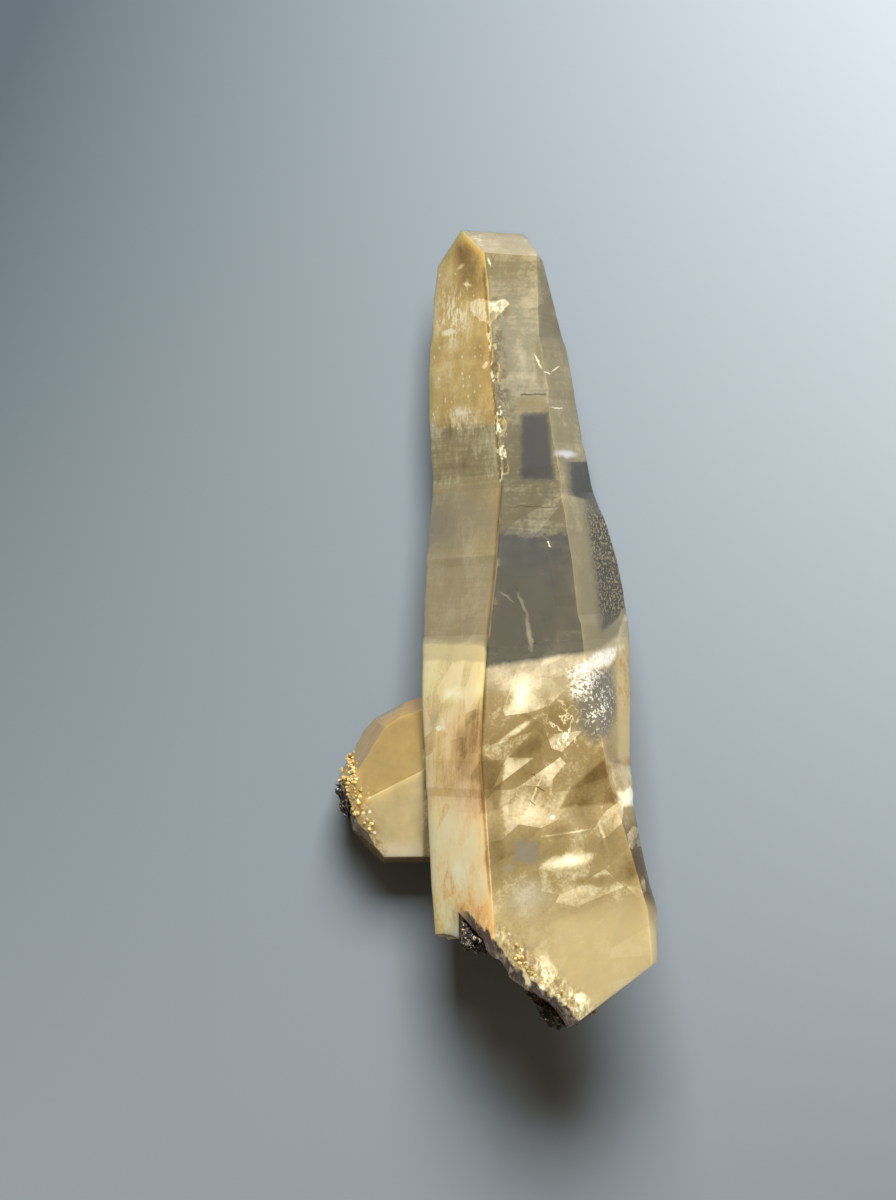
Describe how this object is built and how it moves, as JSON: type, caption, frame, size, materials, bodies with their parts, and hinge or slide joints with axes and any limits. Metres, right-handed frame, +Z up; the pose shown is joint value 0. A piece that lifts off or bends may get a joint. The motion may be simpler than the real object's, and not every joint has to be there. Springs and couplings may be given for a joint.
{
  "type": "raw crystal wand",
  "caption": "Raw smoky citrine quartz wand: a long tapering six-sided crystal with a smaller crystal grown on its side and a broken base.",
  "frame": {"origin": "middle of the bounding box in plan, at the surface that the crystal lies on", "axes": "+Y along the wand towards its tip, +X towards the side away from the smaller crystal, +Z up from the back face that it lies on"},
  "size_m": [0.044, 0.109, 0.0303],
  "materials": {
    "quartz": "gloss",
    "matrix": "matte"
  },
  "bodies": {
    "root": {"quartz_crystal": "quartz", "matrix_left": "matrix", "matrix_right": "matrix", "matrix_side": "matrix"}
  },
  "joints": []
}
